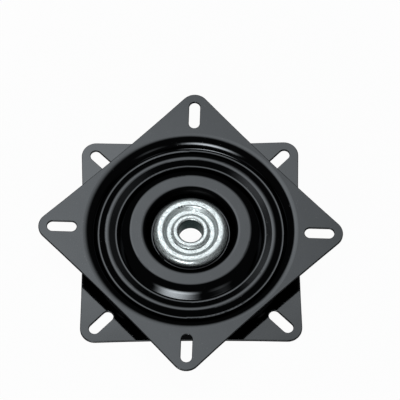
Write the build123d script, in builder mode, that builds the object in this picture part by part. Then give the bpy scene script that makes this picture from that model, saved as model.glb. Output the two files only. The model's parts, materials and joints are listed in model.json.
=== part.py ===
# Turntable bearing: two pressed steel plates that swivel on a caged row of balls.
# A plated cap, clamped to the lower plate by a tubular rivet, reaches over the upper
# plate's pocket and holds it down on a second, smaller row of balls.
# The origin is on the swivel axis at the underside of the lower plate, with Z up
# and the lower plate's slots along X and Y. All sizes are in millimetres.
import math
import os

from build123d import *

os.makedirs("parts", exist_ok=True)

# Plates
sheet = 2.5  # steel of both plates
lower_side = 180.0  # square, measured to its sharp corners
upper_over = 1.3  # how far the upper plate is wider, at each side
side_bow = 1.65  # each side is drawn in by this at its middle
corner_r = 12.0
edge_round = 0.6  # on the cut edges of the sides and slots
rest_turn = 42.9  # angle of the upper plate from the lower one at rest, in degrees

# Bolt slots, one along the diagonal of each corner
slot_l = 24.0
slot_w = 9.0
slot_gap = 2.98  # from the circle where the dish begins to the lower plate's slots

# Pressed rings, measured on a plate's outer face: depths below it and the inside radius of each bend
rim_inset = 8.5  # from a side to the sharp edge of the dish
rim_flat = 0.15  # flat kept between a side's middle and the start of the rim's bend
fold_depth = 8.2  # of the two folds beside the ball race
fold_bend = 2.6
race_peak = 5.68  # depth of the race, before it is rounded for the balls
race_groove = 3.4  # radius of the race that the balls run in
land_bend = 3.85
brow_depth = 2.62  # the inner slope is shallow below the land, down to this depth, and steep after it
brow_bend = 11.5
pocket_bend = 4.0  # at the land's inner edge
pocket_run = 3.4  # width of the pocket's wall
pocket_depth = 9.4
pocket_fold = 1.5
floor_depth = 8.0  # of the pocket's floor, where the small balls run
floor_bend = 1.0
lower_pocket = 6.5  # depth of the lower plate's pocket
lower_pocket_bend = 2.0

# How the rings share the width between the rim and the pocket; the flat land takes the rest
rim_share = 0.1214  # outer slope
fold_share = 0.175  # from the race to each fold
land_share = 0.2275  # inner slope, up to the land
brow_share = 0.476  # of the inner slope, its shallow part

# Main row of balls
ball_d = 6.35
ball_count = 16
ball_gap = 0.15  # running clearance between a ball and its race
cage_gap = 0.2  # between a ball and its cage
cage_w = 10.4
cage_t = 1.8

# Centre: tubular rivet, spacer sleeve and cap
bore_r = 9.7
rivet_wall = 2.5
head_lip = 3.5  # how far the rolled heads reach past the rivet's tube
head_h = 2.9
head_round = 2.3
sleeve_wall = 3.5
hole_gap = 1.8  # between the sleeve and the upper plate's hole
cap_sheet = 1.5
cap_h = 6.5
cap_recess = 3.6  # depth of the seat for the rivet's head
cap_seat = 7.3  # from the rivet's tube to the edge of that seat
cap_seat_bend = 1.0
cap_crown = 2.6  # from the small balls' circle in to the crown's edge
cap_crown_bend = 1.5
cap_shoulder = 3.5  # inside radius of the cap's shoulder
cap_flare = 0.3
cap_room = 1.2  # between a small ball and the cap's wall
pocket_gap = 2.5  # from the cap's wall to the pocket's wall

# Small row of balls, under the cap
small_ball_d = 4.762
small_ball_count = 10
small_race_in = 7.3  # from the upper plate's hole to the small balls' circle
small_cage_drop = 1.2  # the cage lies below the middle of the balls
small_cage_w = 6.2
small_cage_t = 0.8

# Radii, worked in from the side of the plate and out from the bore
upper_side = lower_side + 2 * upper_over
join_r = lower_side / 2 - side_bow - edge_round - rim_flat
slot_inset = lower_side / math.sqrt(2) - join_r - slot_gap - slot_l / 2
rim_r = lower_side / 2 - rim_inset
tube_r = bore_r + rivet_wall
head_r = tube_r + head_lip
sleeve_r = tube_r + sleeve_wall
hole_r = sleeve_r + hole_gap
small_race_r = hole_r + small_race_in
cap_r = small_race_r + small_ball_d / 2 + cap_room + cap_sheet
pocket_r = cap_r + pocket_gap
land_in_r = pocket_r + pocket_run
floor_r = cap_r - cap_sheet - cap_room / 2
ring_w = rim_r - land_in_r
rim_run = rim_share * ring_w
fold_spread = fold_share * ring_w
race_r = rim_r - rim_run - fold_spread
fold_in_r = race_r - fold_spread
slope_run = land_share * ring_w
land_out_r = fold_in_r - slope_run
rim_bend = (join_r - rim_flat - rim_r) / math.tan(math.atan2(fold_depth, rim_run) / 2) - sheet

# Heights, stacked up from the underside of the lower plate through the balls
race_angle = math.atan2(fold_depth - race_peak, fold_spread)
race_depth = race_peak + (race_groove + sheet) * (1 / math.cos(race_angle) - 1)
ball_z = race_depth + sheet + ball_gap + ball_d / 2
top_z = 2 * ball_z
small_ball_z = top_z - floor_depth + ball_gap + small_ball_d / 2
cap_top = small_ball_z + small_ball_d / 2 + ball_gap + cap_sheet
seat_z = cap_top - cap_recess
sleeve_bottom = lower_pocket + sheet
sleeve_top = seat_z - cap_sheet


def plate_flat(plane, side):
    """Flat of a plate: a square with drawn-in sides, its corners on the axes, a slot in each."""
    corner = side / math.sqrt(2)
    middle = (side / 2 - side_bow) / math.sqrt(2)
    with BuildSketch(plane) as flat:
        with BuildLine():
            ThreePointArc((corner, 0), (middle, middle), (0, corner))
            mirror(about=Plane.YZ)
            mirror(about=Plane.XZ)
        make_face()
        fillet(flat.vertices(), corner_r)
        with PolarLocations(corner - slot_inset, 4):
            SlotOverall(slot_l, slot_w, mode=Mode.SUBTRACT)
        Circle(join_r, mode=Mode.SUBTRACT)
    return flat.sketch


def cut_edges(plate):
    """Edges of a flat's two faces along its sides and slots, without the circle where the dish joins it."""
    around = plate.faces().filter_by(Axis.Z).edges()
    return around - around.filter_by(lambda edge: edge.is_closed)


def pressed_section(plane, outer_face, bends, thickness):
    """Half-section of a pressed sheet: its outer face as (radius, depth), and each bend's inside radius."""
    corners = [Vector(*corner) for corner in outer_face]
    through = [(end - start).normalized().rotate(Axis.Z, -90) for start, end in zip(corners, corners[1:])]
    before = through[:1] + through
    after = through + through[-1:]
    inner_face = [
        corner + (one + other) * (thickness / (1 + one.dot(other)))
        for corner, one, other in zip(corners, before, after)
    ]
    bulges = [one.cross(other).Z < 0 for one, other in zip(through, through[1:])]
    outer_bends = [bend + thickness if bulge else bend for bend, bulge in zip(bends, bulges)]
    inner_bends = [bend if bulge else bend + thickness for bend, bulge in zip(bends, bulges)]
    with BuildSketch(plane) as section:
        with BuildLine():
            outer = FilletPolyline(*corners, radius=outer_bends)
            inner = FilletPolyline(*inner_face, radius=inner_bends)
            Line(outer @ 0, inner @ 0)
            Line(outer @ 1, inner @ 1)
        make_face()
    return section.sketch


# Rings that both plates share, as (radius, depth) on the outer face
rings = [
    (join_r, 0),
    (rim_r, 0),
    (race_r + fold_spread, fold_depth),
    (race_r, race_peak),
    (fold_in_r, fold_depth),
    (land_out_r + brow_share * slope_run, brow_depth),
    (land_out_r, 0),
    (land_in_r, 0),
]
ring_bends = [rim_bend, fold_bend, race_groove, fold_bend, brow_bend, land_bend, pocket_bend]

# Lower plate: the dish rises from the underside to a flat seat for the rivet
lower_line = rings + [(pocket_r, lower_pocket), (tube_r, lower_pocket)]
lower_flat = plate_flat(Plane.XY, lower_side)
lower_section = pressed_section(Plane.XZ, lower_line, ring_bends + [lower_pocket_bend], sheet)
with BuildPart() as lower_plate:
    extrude(lower_flat, amount=sheet)
    fillet(cut_edges(lower_plate), edge_round)
    revolve(lower_section, axis=Axis.Z)
lower_plate.part.label = "lower_plate"
export_step(lower_plate.part, "parts/lower_plate.step")

# Upper plate: the same dish turned over, with a deeper pocket and a raised floor for the small balls
upper_line = rings + [(pocket_r, pocket_depth), (floor_r, floor_depth), (hole_r, floor_depth)]
upper_plane = Plane(origin=(0, 0, top_z), x_dir=(1, 0, 0), z_dir=(0, 1, 0))
upper_flat = plate_flat(Plane.XY.offset(top_z - sheet).rotated((0, 0, rest_turn)), upper_side)
upper_section = pressed_section(upper_plane, upper_line, ring_bends + [pocket_fold, floor_bend], sheet)
with BuildPart() as upper_plate:
    extrude(upper_flat, amount=sheet)
    fillet(cut_edges(upper_plate), edge_round)
    revolve(upper_section, axis=Axis.Z)
upper_plate.part.label = "upper_plate"
export_step(upper_plate.part, "parts/upper_plate.step")

# Cap: a drawn cup with a sunken seat, whose crown is the upper race of the small balls
cap_line = [
    (cap_r + cap_flare, cap_h),
    (cap_r, 0),
    (small_race_r - cap_crown, 0),
    (tube_r + cap_seat, cap_recess),
    (tube_r, cap_recess),
]
cap_plane = Plane(origin=(0, 0, cap_top), x_dir=(1, 0, 0), z_dir=(0, 1, 0))
cap_section = pressed_section(cap_plane, cap_line, [cap_shoulder, cap_crown_bend, cap_seat_bend], cap_sheet)
with BuildPart() as hub_cap:
    revolve(cap_section, axis=Axis.Z)
hub_cap.part.label = "hub_cap"
export_step(hub_cap.part, "parts/hub_cap.step")

# Rivet: a tube whose two ends are rolled over the cap's seat and the lower plate's pocket
with BuildPart() as tubular_rivet:
    with BuildSketch(Plane.XZ) as rivet_section:
        with Locations((bore_r, lower_pocket - head_h)):
            Rectangle(rivet_wall, seat_z - lower_pocket + 2 * head_h, align=(Align.MIN, Align.MIN))
        with Locations((bore_r, seat_z), (bore_r, lower_pocket - head_h)):
            Rectangle(head_r - bore_r, head_h, align=(Align.MIN, Align.MIN))
        head_ends = rivet_section.vertices().group_by(Axis.Y)
        fillet(head_ends[0] + head_ends[-1], head_round)
    revolve(axis=Axis.Z)
tubular_rivet.part.label = "tubular_rivet"
export_step(tubular_rivet.part, "parts/tubular_rivet.step")

# Sleeve: keeps the cap at its height over the lower plate when the rivet is rolled
with BuildPart() as spacer_sleeve:
    with BuildSketch(Plane.XY.offset(sleeve_bottom)):
        Circle(sleeve_r)
        Circle(tube_r, mode=Mode.SUBTRACT)
    extrude(amount=sleeve_top - sleeve_bottom)
spacer_sleeve.part.label = "spacer_sleeve"
export_step(spacer_sleeve.part, "parts/spacer_sleeve.step")

# Main cage: a flat ring with a round window for each ball
with BuildPart() as main_cage:
    with BuildSketch(Plane.XY.offset(ball_z - cage_t / 2)):
        Circle(race_r + cage_w / 2)
        Circle(race_r - cage_w / 2, mode=Mode.SUBTRACT)
        with PolarLocations(race_r, ball_count):
            Circle(ball_d / 2 + cage_gap, mode=Mode.SUBTRACT)
    extrude(amount=cage_t)
main_cage.part.label = "main_cage"
export_step(main_cage.part, "parts/main_cage.step")

for number, place in enumerate(PolarLocations(race_r, ball_count), start=1):
    with BuildPart(Plane.XY.offset(ball_z)) as main_ball:
        with Locations(place):
            Sphere(ball_d / 2)
    main_ball.part.label = f"main_ball_{number:02d}"
    export_step(main_ball.part, f"parts/main_ball_{number:02d}.step")

# Small cage: lies under the middle of the small balls, where the cap leaves it room
with BuildPart() as small_cage:
    with BuildSketch(Plane.XY.offset(small_ball_z - small_cage_drop - small_cage_t / 2)):
        Circle(small_race_r + small_cage_w / 2)
        Circle(small_race_r - small_cage_w / 2, mode=Mode.SUBTRACT)
        with PolarLocations(small_race_r, small_ball_count):
            Circle(small_ball_d / 2 + cage_gap / 2, mode=Mode.SUBTRACT)
    extrude(amount=small_cage_t)
small_cage.part.label = "small_cage"
export_step(small_cage.part, "parts/small_cage.step")

for number, place in enumerate(PolarLocations(small_race_r, small_ball_count), start=1):
    with BuildPart(Plane.XY.offset(small_ball_z)) as small_ball:
        with Locations(place):
            Sphere(small_ball_d / 2)
    small_ball.part.label = f"small_ball_{number:02d}"
    export_step(small_ball.part, f"parts/small_ball_{number:02d}.step")
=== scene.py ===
# %% [markdown]
# # A turntable bearing
# This lesson dresses a furniture swivel: two pressed steel plates in gloss black coat that
# turn on each other over a ring of balls, clamped at the centre by a plated cap and rivet.
# The solid model already has every piece at its true size, so the first step only loads it
# and keeps its pieces.

# %% Load the solid model
import json
import math

import bpy
from mathutils import Matrix, Vector


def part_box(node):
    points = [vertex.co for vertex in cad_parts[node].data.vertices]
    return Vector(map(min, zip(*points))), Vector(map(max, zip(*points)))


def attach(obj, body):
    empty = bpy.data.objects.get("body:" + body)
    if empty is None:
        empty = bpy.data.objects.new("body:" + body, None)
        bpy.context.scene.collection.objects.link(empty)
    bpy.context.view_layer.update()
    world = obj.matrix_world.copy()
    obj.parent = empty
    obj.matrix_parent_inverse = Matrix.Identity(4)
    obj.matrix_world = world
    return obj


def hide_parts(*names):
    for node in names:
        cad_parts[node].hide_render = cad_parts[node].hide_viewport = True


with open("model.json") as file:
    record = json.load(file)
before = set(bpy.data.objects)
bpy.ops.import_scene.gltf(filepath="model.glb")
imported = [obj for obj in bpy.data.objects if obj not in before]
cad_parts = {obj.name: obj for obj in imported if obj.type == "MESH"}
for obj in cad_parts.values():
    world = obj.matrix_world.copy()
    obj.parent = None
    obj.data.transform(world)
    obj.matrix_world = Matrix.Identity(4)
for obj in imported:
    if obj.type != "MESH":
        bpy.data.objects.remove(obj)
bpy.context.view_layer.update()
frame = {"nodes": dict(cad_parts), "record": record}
print("pieces in the model:", len(frame["nodes"]))

# %% [markdown]
# ## The camera
# The photograph was taken from well above with a long lens, so the plates show hardly any
# perspective. The viewing angle was worked out from the eight corners of the two plates.
# A camera can be aimed by tracking an empty, but here its three axes are built from the
# angles, because a small roll is part of the picture.

# %% Aim the camera
view_turn = math.radians(44.38)
view_height = math.radians(64.156)
view_roll = math.radians(0.241)
view_distance = 2.5205
aim_right, aim_up = 0.00754, 0.03305
sheet_thickness = 0.0025
lens_in_pixels, picture_width = 3087.7, 400

right = Vector((math.cos(view_turn), math.sin(view_turn), 0))
away = Vector((-math.sin(view_turn), math.cos(view_turn), 0))
overhead = Vector((0, 0, 1))
forward = away * math.cos(view_height) - overhead * math.sin(view_height)
upward = away * math.sin(view_height) + overhead * math.cos(view_height)
camera_x = right * math.cos(view_roll) + upward * math.sin(view_roll)
camera_y = upward * math.cos(view_roll) - right * math.sin(view_roll)

camera_data = bpy.data.cameras.new("camera")
camera_data.sensor_width = 36
camera_data.lens = lens_in_pixels * camera_data.sensor_width / picture_width
camera = bpy.data.objects.new("camera", camera_data)
bpy.context.scene.collection.objects.link(camera)
eye = overhead * sheet_thickness + right * aim_right + upward * aim_up - forward * view_distance
aim = Matrix((camera_x, camera_y, -forward)).transposed().to_4x4()
camera.matrix_world = Matrix.Translation(eye) @ aim
bpy.context.scene.camera = camera
bpy.context.scene.view_settings.view_transform = "Standard"
print("camera at", [round(value, 3) for value in eye])
print("lens in mm:", round(camera_data.lens, 1))

# %% [markdown]
# ## A short way to write finishes
# A finish is a small web of shader nodes. Wiring it by hand takes many lines, so one class
# wraps a socket and turns Python sums into Math nodes, and another makes any other node
# from its type, its settings and its inputs. After that a finish reads like a recipe.

# %% Sums with sockets
class Wire:
    """A socket that takes part in sums; each operator adds a Math node."""

    def __init__(self, tree, socket):
        self.tree = tree
        self.socket = socket

    def sum(self, operation, first, second=None):
        node = self.tree.nodes.new("ShaderNodeMath")
        node.operation = operation
        for place, value in zip(node.inputs, (first, second)):
            if isinstance(value, Wire):
                self.tree.links.new(value.socket, place)
            elif value is not None:
                place.default_value = value
        return Wire(self.tree, node.outputs[0])

    def __add__(self, other):
        return self.sum("ADD", self, other)

    def __radd__(self, other):
        return self.sum("ADD", other, self)

    def __rsub__(self, other):
        return self.sum("SUBTRACT", other, self)

    def __mul__(self, other):
        return self.sum("MULTIPLY", self, other)

    def __rmul__(self, other):
        return self.sum("MULTIPLY", other, self)

    def larger(self, other):
        return self.sum("MAXIMUM", self, other)


# %% Nodes from one method
class Finish:
    """A material, or the world, whose nodes all come from the method node."""

    def __init__(self, owner):
        owner.use_nodes = True
        self.owner = owner
        self.tree = owner.node_tree
        self.tree.nodes.clear()

    def node(self, kind, settings=None, inputs=None, output=0):
        made = self.tree.nodes.new("ShaderNode" + kind)
        for name, value in (settings or {}).items():
            setattr(made, name, value)
        for name, value in (inputs or {}).items():
            if isinstance(value, Wire):
                self.tree.links.new(value.socket, made.inputs[name])
            else:
                made.inputs[name].default_value = value
        return Wire(self.tree, made.outputs[output]) if made.outputs else None

    def blend(self, amount, one, other):
        """One colour turning into another by an amount from 0 to 1."""
        return self.node("Mix", {"data_type": "RGBA"}, {0: amount, 6: one, 7: other}, output=2)

    def ramp(self, value, low, high):
        """0 below low, 1 above high, and smooth between."""
        settings = {"interpolation_type": "SMOOTHSTEP"}
        return self.node("MapRange", settings, {"Value": value, "From Min": low, "From Max": high})

    def band(self, value, low, full, still_full, high):
        """1 between full and still_full, and 0 outside low and high."""
        return self.ramp(value, low, full) * (1 - self.ramp(value, still_full, high))

    def speckle(self, place, scale, detail=2):
        """Cloudy noise from 0 to 1, about 1 / scale metres across."""
        return self.node("TexNoise", {}, {"Vector": place, "Scale": scale, "Detail": detail})

    def relief(self, height, depth, under=None):
        """Bumps of that depth in metres, on top of other bumps if any."""
        inputs = {"Height": height, "Distance": depth, "Strength": 1.0}
        if under:
            inputs["Normal"] = under
        return self.node("Bump", {}, inputs)

    def radius_of(self, place):
        """Distance from the swivel axis."""
        flat = self.node("VectorMath", {"operation": "MULTIPLY"}, {0: place, 1: (1, 1, 0)})
        return self.node("VectorMath", {"operation": "LENGTH"}, {0: flat}, output="Value")


def new_finish(name):
    return Finish(bpy.data.materials.new(name))


# %% [markdown]
# ## Gloss black coat
# The plates are dipped in a black coat and baked. The grey of their flats is the mirror image of
# a big soft light, and the slopes stay black: the photograph has no glare on them, as if it was
# taken through a polarising filter. A coat with plain Fresnel would veil them, so this one is
# made as a dark mirror whose Specular Tint, the reflection at a slanting angle, is dark too.
# Baking leaves a faint orange peel, the pressed sheet under it is a little wavy, and specks of
# dust are caught in the coat. The pocket round the cap is rough and painted near black, a painted
# shade, so it hardly shines.
# The lower plate mirrors the upper one in a narrower strip than parallel plates would show, so
# the real pair has some play and leans a little. The meshes stay as modelled: a bump of constant
# slope leans only the lower plate's shine. That plate's coat is also painted a touch lighter, a
# painted brighter shine that makes up for what the lean takes away.

# %% Where the coat differs
pocket_shade_radii = (0.0328, 0.0336, 0.0368, 0.0384)  # radii where the coat is painted near black, a painted shade
between_plates = (0.0108, 0.0116)  # heights that neither plate reaches

coat = new_finish("black_coat")
place = coat.node("TexCoord", output="Object")
radius = coat.radius_of(place)
height = coat.node("SeparateXYZ", {}, {0: place}, output="Z")
lower = 1 - coat.ramp(height, *between_plates)
# painted shade: a ring mask over the pocket round the cap
pocket_shade = coat.band(radius, *pocket_shade_radii)
dust = coat.ramp(coat.speckle(place, 900, 0), 0.80, 0.86)
cloud = coat.speckle(place, 70, 4)
print("nodes that tell places apart:", len(coat.tree.nodes))

# %% Bumps in the coat
lean_slope = 0.085  # of the lower plate's shine, about five degrees
peel_depth, wave_depth = 0.000008, 0.00012

uphill = {0: place, 1: away * lean_slope}
rise = coat.node("VectorMath", {"operation": "DOT_PRODUCT"}, uphill, output="Value")
lean = coat.relief(rise * lower, 1.0)
peel = coat.relief(coat.speckle(place, 520), peel_depth, lean)
waves = coat.relief(coat.speckle(place, 38, 1), wave_depth, peel)
print("lean in degrees:", round(math.degrees(math.atan(lean_slope)), 1))

# %% Black coat
tone = coat.blend(cloud, (0.050, 0.051, 0.053, 1), (0.056, 0.057, 0.059, 1))
# painted light: the lower plate's coat is lighter, a painted brighter shine that makes up for the
# lean
tone = coat.blend(lower, tone, (0.066, 0.067, 0.069, 1))
tone = coat.blend(dust, tone, (0.10, 0.10, 0.10, 1))
# painted shade: the pocket's colour goes near black to take its shine away
tone = coat.blend(pocket_shade, tone, (0.003, 0.003, 0.003, 1))
coat_shader = coat.node("BsdfPrincipled", {}, {
    "Base Color": tone,
    "Metallic": 1.0,
    "Roughness": 0.05 + 0.05 * cloud + 0.2 * dust + 0.3 * pocket_shade,
    "Specular Tint": (0.1, 0.1, 0.1, 1),
    "Normal": waves,
})
coat.node("OutputMaterial", {}, {"Surface": coat_shader})
print("black coat nodes:", len(coat.tree.nodes))

# %% [markdown]
# ## Bright zinc plate
# The cap and the rivet are zinc-plated and passivated, which gives a white metal with a
# cold blue-green cast. Close up it is spangled: smooth grains lie among matt ones, so its shine
# is sharp and soft at once. A roughness that jumps between two values by a very fine noise does
# that. Drawing the cap leaves fine rings round the axis; the rings are noise read along the radius
# only. Inside the bore the colour is dark teal, partly for thinner plating and partly as painted
# shade for the dark reflection there. The crease round the rivet's head is darkened by painted
# shade, and a row of short dark ticks on the crown's inner edge is painted shade for small dents
# left by the press. Both are masks of radius and heading, broken up by noise.

# %% Zinc plate
zinc = new_finish("zinc_plate")
place = zinc.node("TexCoord", output="Object")
radius = zinc.radius_of(place)
ring_place = zinc.node("CombineXYZ", {}, {"X": radius * 900, "Y": 0.0, "Z": 0.0})
rings = zinc.speckle(ring_place, 3.0, 3)
cloud = zinc.speckle(place, 160, 4)
grit = zinc.speckle(place, 1500, 2)
spangle = zinc.ramp(zinc.speckle(place, 2600, 1), 0.43, 0.59)
# mask of the bore, where the colour is darkened
bore = 1 - zinc.ramp(radius, 0.0098, 0.0105)
print("nodes for grain and rings:", len(zinc.tree.nodes))

# %% Painted shade in the crease and at the press dents
crease_radii = (0.01562, 0.01578, 0.0160, 0.0164)
mark_radii = (0.0214, 0.0219, 0.0231, 0.0236)
mark_headings = (2.54, 2.62, 2.84, 2.92)
marks_per_radian = 57

crease = zinc.band(radius, *crease_radii)
# painted shade in the crease round the rivet's head, broken up by noise
crease_shade = crease * zinc.ramp(zinc.speckle(place, 420, 2), 0.40, 0.52)
along_x = zinc.node("SeparateXYZ", {}, {0: place}, output="X")
along_y = zinc.node("SeparateXYZ", {}, {0: place}, output="Y")
heading = along_y.sum("ARCTAN2", along_y, along_x)
row = zinc.band(heading, *mark_headings)
edge = zinc.band(radius, *mark_radii)
# painted shade: dark ticks standing in for small dents left by the press
marks = row * edge * zinc.ramp(heading.sum("SINE", heading * marks_per_radian), 0.0, 0.5)
marks_in_row = (mark_headings[3] - mark_headings[0]) * marks_per_radian / math.tau
print("press marks in the row: about", round(marks_in_row))

# %% Plate and its shine
tone = zinc.blend(cloud, (0.86, 0.90, 0.89, 1), (0.92, 0.945, 0.94, 1))
# painted shade: the crease round the rivet's head and the press dents are darkened in the colour
tone = zinc.blend(crease_shade.larger(marks), tone, (0.02, 0.03, 0.03, 1))
# partly painted shade: the bore is darkened for its dark reflection, and partly for thinner
# plating
tone = zinc.blend(bore, tone, (0.018, 0.030, 0.031, 1))
scored = zinc.relief(rings, 0.000006)
dimpled = zinc.relief(grit, 0.000012, scored)
zinc_shader = zinc.node("BsdfPrincipled", {}, {
    "Base Color": tone,
    "Metallic": 1.0,
    "Roughness": 0.19 + 0.08 * cloud + 0.05 * rings + 0.58 * spangle,
    "Specular Tint": (0.62, 0.65, 0.65, 1),
    "Normal": dimpled,
})
zinc.node("OutputMaterial", {}, {"Surface": zinc_shader})
print("zinc plate nodes:", len(zinc.tree.nodes))

# %% [markdown]
# ## Bearing steel and nylon
# The balls are ground and polished, with a thin smear of grease that dulls them in patches.
# Their cage is moulded in natural nylon, which is milky and a little uneven. Both show only
# through the gap between the plates, but they are there when the object is turned.

# %% Bearing steel
steel = new_finish("bright_steel")
place = steel.node("TexCoord", output="Object")
smear = steel.ramp(steel.speckle(place, 260, 3), 0.45, 0.7)
steel_shader = steel.node("BsdfPrincipled", {}, {
    "Base Color": steel.blend(smear, (0.60, 0.61, 0.63, 1), (0.46, 0.44, 0.38, 1)),
    "Metallic": 1.0,
    "Roughness": 0.07 + 0.22 * smear,
})
steel.node("OutputMaterial", {}, {"Surface": steel_shader})
print("bearing steel nodes:", len(steel.tree.nodes))

# %% Nylon
nylon = new_finish("nylon")
place = nylon.node("TexCoord", output="Object")
cloud = nylon.speckle(place, 300, 3)
nylon_shader = nylon.node("BsdfPrincipled", {}, {
    "Base Color": nylon.blend(cloud, (0.72, 0.70, 0.62, 1), (0.80, 0.78, 0.71, 1)),
    "Roughness": 0.42 + 0.12 * cloud,
    "Normal": nylon.relief(nylon.speckle(place, 1200), 0.00002),
})
nylon.node("OutputMaterial", {}, {"Surface": nylon_shader})
print("nylon nodes:", len(nylon.tree.nodes))

# %% Give every piece of the model its finish
finishes = {"black_coat": coat, "zinc_plate": zinc, "bright_steel": steel, "nylon": nylon}
for part in frame["record"]["subparts"]:
    mesh = frame["nodes"][part["node"]].data
    mesh.materials.clear()
    mesh.materials.append(finishes[part["material_slot"]].owner)

# %% [markdown]
# ## The cap, drawn on a lathe
# The cap in the middle is a drawn cup: a wall, a round shoulder, a crown, and a sunken seat for
# the rivet. Every turn of it is round, so half of its section is enough: a line of corners with
# a bend at each, swept once about the axis. The solid model has the same form, but in coarse
# facets that would show in bright metal, so a finer copy takes its place. Its shoulder is a
# little tighter, so that the crown shines as far out as in the photograph. A spin of one vertex
# draws each bend, a spin of the whole line makes the skin, and solidify gives it its sheet.

# %% A line with bends
import bmesh

mm = 0.001


def in_mm(corner):
    return [round(value / mm, 2) for value in corner]


def section_line(corners, bends, bend_steps=12):
    """A line through (radius, height) corners in millimetres, with a bend at each inner corner."""
    mesh = bmesh.new()
    corners = [Vector((radius, 0, height)) * mm for radius, height in corners]
    tip = mesh.verts.new(corners[0])
    for before, corner, after, bend in zip(corners, corners[1:], corners[2:], bends):
        arriving, leaving = (corner - before).normalized(), (after - corner).normalized()
        turn = math.atan2(arriving.cross(leaving).y, arriving.dot(leaving))
        start = corner - arriving * bend * mm * math.tan(abs(turn) / 2)
        inward = math.copysign(bend * mm, turn)
        centre = start + Vector((arriving.z, 0, -arriving.x)) * inward
        tip = bmesh.ops.extrude_vert_indiv(mesh, verts=[tip])["verts"][0]
        tip.co = start
        if bend:
            swept = bmesh.ops.spin(
                mesh, geom=[tip], cent=centre, axis=(0, 1, 0), angle=turn, steps=bend_steps,
            )["geom_last"]
            tip = [item for item in swept if isinstance(item, bmesh.types.BMVert)][0]
    tip = bmesh.ops.extrude_vert_indiv(mesh, verts=[tip])["verts"][0]
    tip.co = corners[-1]
    return mesh


def turned_piece(name, mesh, sheet=0.0, turns=256):
    """Spins a section line once about the swivel axis; a sheet makes the skin that thick."""
    bmesh.ops.spin(
        mesh, geom=mesh.verts[:] + mesh.edges[:], cent=(0, 0, 0), axis=(0, 0, 1),
        angle=math.tau, steps=turns, use_merge=True,
    )
    bmesh.ops.remove_doubles(mesh, verts=mesh.verts, dist=0.002 * mm)
    bmesh.ops.recalc_face_normals(mesh, faces=mesh.faces)
    if sheet:
        bmesh.ops.solidify(mesh, geom=mesh.faces[:], thickness=sheet * mm)
    data = bpy.data.meshes.new(name)
    for face in mesh.faces:
        face.smooth = True
    mesh.to_mesh(data)
    mesh.free()
    data.set_sharp_from_angle(angle=math.radians(35))
    piece = bpy.data.objects.new(name, data)
    bpy.context.scene.collection.objects.link(piece)
    print(name, "in mm:", in_mm(piece.bound_box[0]), in_mm(piece.bound_box[6]))
    return piece


# %% Turn the cap
wall_radius, wall_foot, wall_height = 29.881, 30.181, 6.5
crown_edge, seat_edge, seat_depth, tube_radius = 22.2, 19.5, 3.6, 12.2
shoulder_bend, crown_bend, seat_bend, cap_sheet = 4.4, 3.0, 1.0, 1.5

cap_low, cap_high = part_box("hub_cap")
cap_top = cap_high[2] / mm
cap_line = [
    (wall_foot, cap_top - wall_height),
    (wall_radius, cap_top),
    (crown_edge, cap_top),
    (seat_edge, cap_top - seat_depth),
    (tube_radius, cap_top - seat_depth),
]
cap_section = section_line(cap_line, [shoulder_bend, crown_bend, seat_bend])
cap = turned_piece("hub_cap_fine", cap_section, sheet=cap_sheet)
cap.data.materials.append(zinc.owner)
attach(cap, "base")
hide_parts("hub_cap")
print("cap in the model:", in_mm(cap_low), in_mm(cap_high))

# %% [markdown]
# ## The rivet
# The rivet is a tube whose two ends are rolled over. The upper head is a low dome with its crest
# near the bore, and its rim stands off the seat by a hair, which leaves the dark crease that the
# photograph shows. Its section is a closed line, so the spin makes a whole ring without solidify.

# %% Turn the rivet
bore_radius, head_radius, head_height = 9.7, 15.7, 2.9
crest_edge, rim_top, rim_gap, rim_foot = 13.8, 1.6, 0.35, 14.4
upper_bends, lower_bends = [2.1, 2.8, 0.4, 0.3], [2.3, 2.3]

rivet_low, rivet_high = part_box("tubular_rivet")
crest, foot = rivet_high[2] / mm, rivet_low[2] / mm
seat, pocket, middle = crest - head_height, foot + head_height, (crest + foot) / 2
upper_head = [
    (bore_radius, crest),
    (crest_edge, crest),
    (head_radius, seat + rim_top),
    (head_radius, seat + rim_gap),
]
square_corners = [
    (rim_foot, seat),
    (tube_radius, seat),
    (tube_radius, pocket),
    (head_radius, pocket),
]
lower_head = [(head_radius, foot), (bore_radius, foot)]
seam = [(bore_radius, middle)]
rivet_bends = upper_bends + [0] * len(square_corners) + lower_bends
rivet_section = section_line(seam + upper_head + square_corners + lower_head + seam, rivet_bends)
rivet = turned_piece("tubular_rivet_fine", rivet_section)
rivet.data.materials.append(zinc.owner)
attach(rivet, "base")
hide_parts("tubular_rivet")
print("rivet in the model:", in_mm(rivet_low), in_mm(rivet_high))

# %% [markdown]
# ## Floor and light
# The bearing lies on a white sweep. Seen by the camera or in a reflection the floor glows
# white by itself, and the rest of it is a plain pale surface that catches a faint shadow.
# Near the object less of it glows, so that the shadow stays. From below it is clear.

# %% Floor
floor_radius, floor_drop = 14, 0.0003
floor_mesh = bmesh.new()
bmesh.ops.create_circle(floor_mesh, cap_ends=True, segments=64, radius=floor_radius)
bmesh.ops.translate(floor_mesh, verts=floor_mesh.verts, vec=(0, 0, -floor_drop))
floor_data = bpy.data.meshes.new("floor")
floor_mesh.to_mesh(floor_data)
floor_mesh.free()
floor = bpy.data.objects.new("floor", floor_data)
bpy.context.scene.collection.objects.link(floor)
print("floor across in m:", round(floor.dimensions.x, 1))

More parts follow.
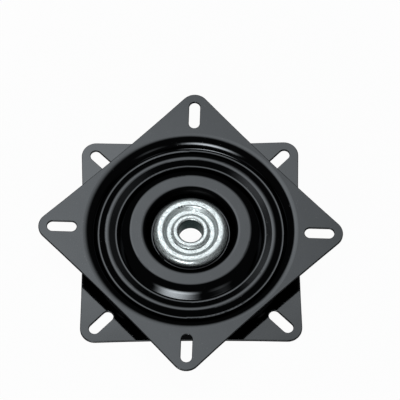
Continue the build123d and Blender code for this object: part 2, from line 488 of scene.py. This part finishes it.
# %% Glow of the floor
near_glow, glow_from, glow_full = 0.965, 0.15, 0.6
pale = new_finish("pale_floor")
place = pale.node("TexCoord", output="Object")
ray = pale.node("LightPath", output="Is Camera Ray")
mirrored = pale.node("LightPath", output="Is Glossy Ray")
through = pale.node("LightPath", output="Is Transmission Ray")
far_out = pale.ramp(pale.radius_of(place), glow_from, glow_full)
glow_share = near_glow + (1 - near_glow) * far_out
plain = pale.node("BsdfDiffuse", {}, {"Color": (0.9, 0.9, 0.9, 1)})
glow = pale.node("Emission", {}, {"Color": (1, 1, 1, 1), "Strength": 1.0})
glowing = glow_share * ray.larger(mirrored).larger(through)
lit = pale.node("MixShader", {}, {0: glowing, 1: plain, 2: glow})
clear = pale.node("BsdfTransparent")
behind = pale.node("NewGeometry", output="Backfacing")
two_sided = pale.node("MixShader", {}, {0: behind, 1: lit, 2: clear})
pale.node("OutputMaterial", {}, {"Surface": two_sided})
floor_data.materials.append(pale.owner)
print("pale floor nodes:", len(pale.tree.nodes))

# %% [markdown]
# ## Lamps with soft edges
# A studio softbox is brightest at its middle and fades out to its edges. A plain area lamp is
# evenly bright and would put a hard-edged patch into the gloss, so each lamp here has a small
# node tree of its own: the Parametric output runs from 0 to 1 across the lamp, and smooth ramps
# fade it out at the four edges. One big lamp hangs over the object where its flats mirror it,
# one stands in front to the left, and a weak one in front to the right.

# %% A lamp that fades at its edges
lamp_colour = (0.92, 0.975, 1.0)


def soft_lamp(name, direction, distance, width, height, level, fades):
    """A lamp facing the object, with its brightness per area and the fades at its four edges."""
    data = bpy.data.lights.new(name, "AREA")
    data.shape = "RECTANGLE"
    data.size, data.size_y = width, height
    data.energy = math.pi * width * height * level
    data.color = lamp_colour
    shade = Finish(data)
    across = shade.node("NewGeometry", output="Parametric")
    glow = None
    for output, low_fade, high_fade in (("X", fades[0], fades[1]), ("Y", fades[2], fades[3])):
        along = shade.node("SeparateXYZ", {}, {0: across}, output=output)
        fade = shade.ramp(along, 0.0, low_fade) * shade.ramp(1 - along, 0.0, high_fade)
        glow = glow * fade if glow else fade
    shade.node("OutputLight", {}, {"Surface": shade.node("Emission", {}, {"Strength": glow})})
    lamp = bpy.data.objects.new(name, data)
    toward = direction.normalized()
    climb = toward.cross(right).normalized()
    side = climb.cross(toward).normalized()
    turn = Matrix((side, climb, toward)).transposed().to_4x4()
    lamp.matrix_world = Matrix.Translation(toward * distance) @ turn
    bpy.context.scene.collection.objects.link(lamp)
    return lamp


def from_front(aside, height):
    """Direction to a lamp on the camera's side: degrees to the right, and above the floor."""
    turn, rise = math.radians(aside), math.radians(height)
    level = right * math.sin(turn) - away * math.cos(turn)
    return level * math.cos(rise) + overhead * math.sin(rise)


# %% Hang the lamps
shift_right, shift_near = 0.015, 0.012
mirrored_eye = away * math.cos(view_height) + overhead * math.sin(view_height)
nearer = overhead * math.cos(view_height) - away * math.sin(view_height)
over_it = mirrored_eye + right * shift_right + nearer * shift_near
soft_lamp(
    "overhead_softbox", over_it, distance=1.3, width=1.53, height=1.4,
    level=2.62, fades=(0.22, 0.74, 0.38, 0.5),
)
soft_lamp(
    "front_softbox", from_front(-17.5, 30.5), distance=1.6, width=1.68, height=0.70,
    level=11.0, fades=(0.5, 0.5, 0.25, 0.6),
)
soft_lamp(
    "side_softbox", from_front(37.5, 29), distance=1.6, width=0.9, height=0.64,
    level=0.5, fades=(0.5, 0.5, 0.3, 0.5),
)
print("lamps:", [item.name for item in bpy.data.lights])

# %% World
room_level = 0.03
world = Finish(bpy.data.worlds.new("dim_room"))
bpy.context.scene.world = world.owner
seen = world.node("LightPath", output="Is Camera Ray")
room = world.node("Background", {}, {"Color": (0.9, 0.95, 1, 1), "Strength": room_level})
backdrop = world.node("Background", {}, {"Color": (1, 1, 1, 1), "Strength": 1.0})
around = world.node("MixShader", {}, {0: seen, 1: room, 2: backdrop})
world.node("OutputWorld", {}, {"Surface": around})
print("world nodes:", len(world.tree.nodes))
